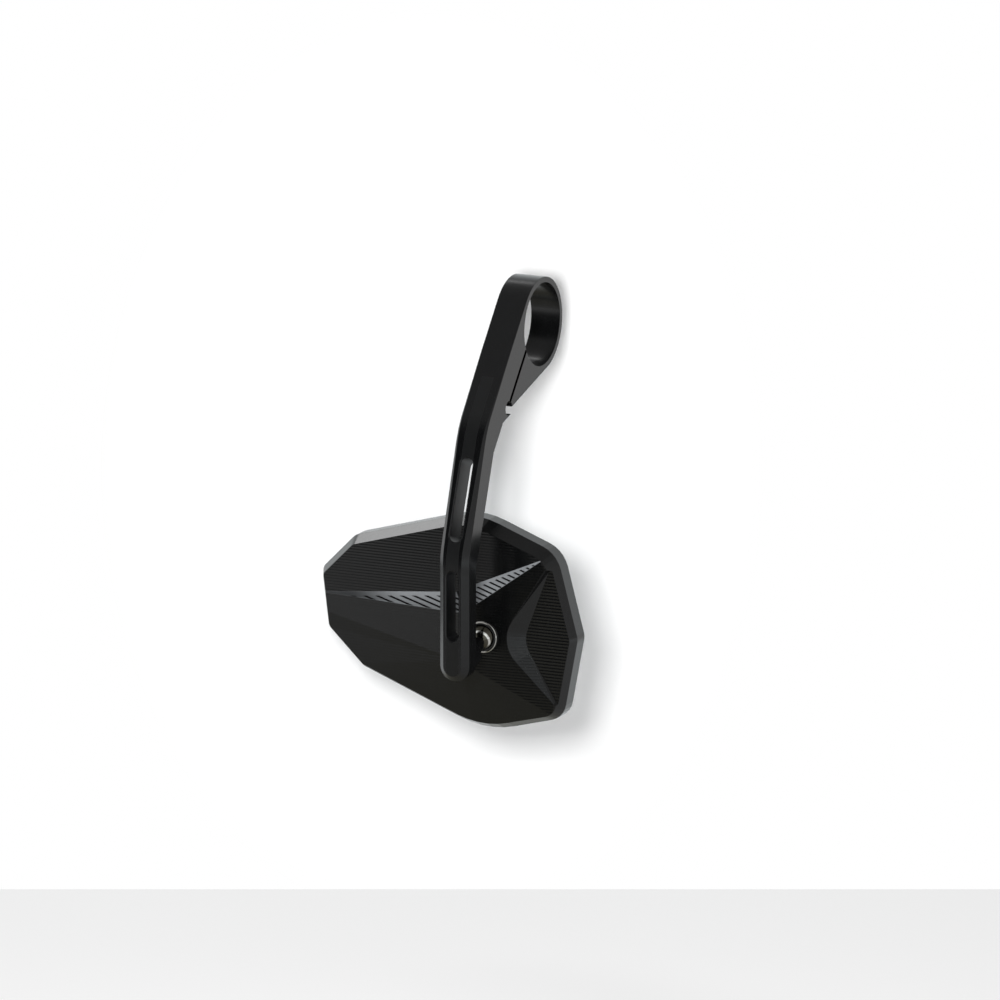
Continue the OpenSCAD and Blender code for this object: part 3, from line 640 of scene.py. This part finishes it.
# %% [markdown]
# ## Floor and paper
# A pale floor lies well under the mirror, which hangs by its clamp ring. Behind it stands a
# sheet of white paper, close enough to show a soft shadow beside every edge. Only the camera
# sees the paper, and only from its front, so it doesn't change the reflections or hide the
# glass from behind. Both mix their lit white with plain white for camera rays, which keeps
# the background white while the shadow stays.

# %% Backdrop finishes
PAPER_BEHIND, PAPER_HALF_WIDTH, PAPER_TOP = 34 * MM, 240 * MM, 150 * MM
# the ellipse on the paper in which the shadow shows: left of the aim, half width and height
SHADOW_LEFT, SHADOW_WIDTH, SHADOW_HEIGHT = 30 * MM, 100 * MM, 142 * MM
PAPER_LEAST_WHITE = 0.1
FLOOR_RADIUS, FLOOR_CORNERS = 4.0, 96
STAGE_WHITE = (0.88, 0.88, 0.88)


def white_light(tree, colour=(1, 1, 1)):
    return tree.node("ShaderNodeEmission", {"Color": colour, "Strength": 1.0})


def stage_finish(name, plain_white, glossy_colour=None):
    """Lit white that turns to plain white where plain_white(tree, place) is 1."""
    finish = Finish(name, STAGE_WHITE, 0.9)
    lit = Value(finish, finish.shader.outputs[0])
    amount = plain_white(finish, finish.place()) * finish.light_path("Is Camera Ray")
    seen = finish.blend_shaders(amount, lit, white_light(finish))
    if glossy_colour:
        # mirrored rays find light that the floor gives off, a painted reflection
        mirrored = white_light(finish, glossy_colour(finish))
        seen = finish.blend_shaders(finish.light_path("Is Glossy Ray"), seen, mirrored)
    finish.wire(finish.nodes["Material Output"].inputs[0], seen)
    return finish


def floor_white(tree, place):
    far = tree.node("ShaderNodeVectorMath", [place], output="Value", operation="LENGTH")
    return far.ramp(0.35, 1.4) * 0.5 + 0.5


def floor_mirrored(tree):
    return painted_floor_reflection(tree, tree.place())


def paper_white(tree, place):
    middle = VIEW_AIM - picture_right * SHADOW_LEFT
    along = (tree.dot(place, picture_right) - middle.dot(picture_right)) / SHADOW_WIDTH
    up = (tree.split(place)[2] - middle.z) / SHADOW_HEIGHT
    spread = (along * along + up * up).ramp(1.0, 2.0)
    return spread * (1 - PAPER_LEAST_WHITE) + PAPER_LEAST_WHITE


def paper_finish():
    finish = stage_finish("white_paper", paper_white)
    output = finish.nodes["Material Output"].inputs[0]
    front = Value(finish, output.links[0].from_socket)
    clear = finish.node("ShaderNodeBsdfTransparent")
    back = finish.node("ShaderNodeNewGeometry", output="Backfacing")
    finish.wire(output, finish.blend_shaders(back, front, clear))
    return finish.material


# %% Floor and paper
def add_sheet(name, corners, material):
    mesh = bpy.data.meshes.new(name)
    mesh.from_pydata([tuple(c) for c in corners], [], [list(range(len(corners)))])
    mesh.materials.append(material)
    sheet = bpy.data.objects.new(name, mesh)
    bpy.context.collection.objects.link(sheet)
    return sheet


def add_floor():
    angles = [2 * math.pi * i / FLOOR_CORNERS for i in range(FLOOR_CORNERS)]
    rim = [Vector((FLOOR_RADIUS * math.cos(a), FLOOR_RADIUS * math.sin(a), FLOOR_Z))
           for a in angles]
    finish = stage_finish("studio_floor", floor_white, floor_mirrored)
    add_sheet("studio_floor", rim, finish.material)


def add_paper():
    middle = -level_towards_camera * PAPER_BEHIND
    side = picture_right * PAPER_HALF_WIDTH
    low, high = Vector((0, 0, FLOOR_Z + 1 * MM)), Vector((0, 0, PAPER_TOP))
    corners = [middle - side + low, middle + side + low,
               middle + side + high, middle - side + high]
    paper = add_sheet("white_paper", corners, paper_finish())
    for ray in ("diffuse", "glossy", "transmission", "shadow"):
        setattr(paper, "visible_" + ray, False)


add_floor()
add_paper()

# %% [markdown]
# ## Lights
# One soft light hangs near the camera, up and to the left, and throws the shadow on the
# paper to the lower right. It only shades and doesn't mirror in the metal. A softbox behind
# the left side, high up, draws the bright line along the upper edge. The world gives the
# rest of the light evenly from all sides, which adds a faint shadow all round.

# %% Lights
LIGHT_DISTANCE = 1.2
KEY_DIRECTION = level_towards_camera - picture_right * 0.12 + Vector((0, 0, 0.3))
KEY_SIZE, KEY_WATTS = (0.22, 0.22), 11.4
SOFTBOX_DIRECTION = Vector((0.62, -0.46, 0.67))
SOFTBOX_SIZE, SOFTBOX_WATTS = (0.5, 0.45), 2.5


def add_light(name, direction, size, watts, mirrored=True):
    lamp = bpy.data.lights.new(name, "AREA")
    lamp.shape = "RECTANGLE"
    lamp.size, lamp.size_y = size
    lamp.energy = watts
    light = bpy.data.objects.new(name, lamp)
    bpy.context.collection.objects.link(light)
    aim = direction.normalized()
    light.location = VIEW_AIM + aim * LIGHT_DISTANCE
    light.rotation_euler = aim.to_track_quat("Z", "Y").to_euler()
    light.visible_glossy = mirrored


add_light("key_by_camera", KEY_DIRECTION, KEY_SIZE, KEY_WATTS, mirrored=False)
add_light("softbox_behind_left", SOFTBOX_DIRECTION, SOFTBOX_SIZE, SOFTBOX_WATTS)

# %% [markdown]
# ## World
# The world is three lights in one, and the kind of ray picks which. Camera rays find plain
# white, rays mirrored by the metal find the studio's levels, and all other rays find an even
# grey that fills the shadows. It isn't sampled as a lamp, because such samples don't know
# the kind of their ray.

# %% World
AMBIENT = 0.44


def set_world():
    world = bpy.data.worlds.new("studio")
    bpy.context.scene.world = world
    tree = Tree(world)
    tree.nodes.clear()
    direction = tree.node("ShaderNodeTexCoord", output="Generated")
    soft = tree.node("ShaderNodeBackground", {"Color": grey(1), "Strength": AMBIENT})
    mirrored = tree.node("ShaderNodeBackground", {"Color": sky_colour(tree, direction),
                                                  "Strength": 1.0})
    white = tree.node("ShaderNodeBackground", {"Color": grey(1), "Strength": 1.0})
    level = tree.blend_shaders(tree.light_path("Is Glossy Ray"), soft, mirrored)
    level = tree.blend_shaders(tree.light_path("Is Camera Ray"), level, white)
    tree.node("ShaderNodeOutputWorld", [level])
    world.cycles.sampling_method = "NONE"


set_world()
bpy.context.scene.view_settings.view_transform = "Standard"
